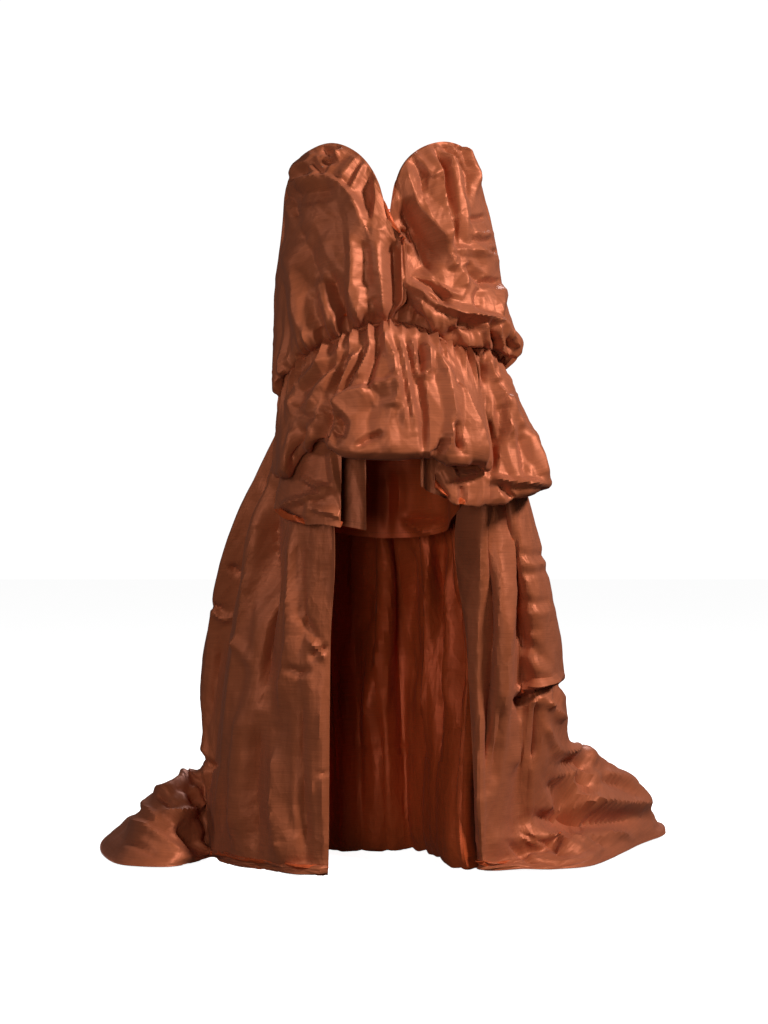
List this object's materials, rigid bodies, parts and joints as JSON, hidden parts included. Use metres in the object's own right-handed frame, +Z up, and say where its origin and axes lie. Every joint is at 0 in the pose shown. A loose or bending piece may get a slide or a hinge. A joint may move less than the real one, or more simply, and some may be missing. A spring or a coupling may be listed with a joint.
{
  "type": "high-low gown",
  "caption": "Strapless high-low gown in crisp taffeta: tall pleated bodice lobes, gathered arched waist, bubble overskirt in front and a long open-fronted train.",
  "frame": {"origin": "middle of the waist, 1.09 m above the floor, where the wearer holds the gown up", "axes": "+Z up, -Y towards the front of the gown, +X to the right of someone who looks at its front"},
  "size_m": [1.2689, 1.3863, 1.4558],
  "materials": {
    "taffeta": "crisp copper taffeta, soft metallic sheen",
    "taffeta_inside": "wrong side of the copper taffeta, warmer in shade"
  },
  "bodies": {
    "root": {"bodice_front_left": "taffeta", "bodice_front_right": "taffeta", "bodice_back_left": "taffeta", "bodice_back_right": "taffeta", "waist_casing": "taffeta", "bubble_front": "taffeta", "bubble_right": "taffeta", "bubble_tier_left": "taffeta", "inner_skirt": "taffeta_inside", "train_left": "taffeta", "train_back": "taffeta", "train_right": "taffeta", "train_facing": "taffeta_inside"}
  },
  "joints": []
}
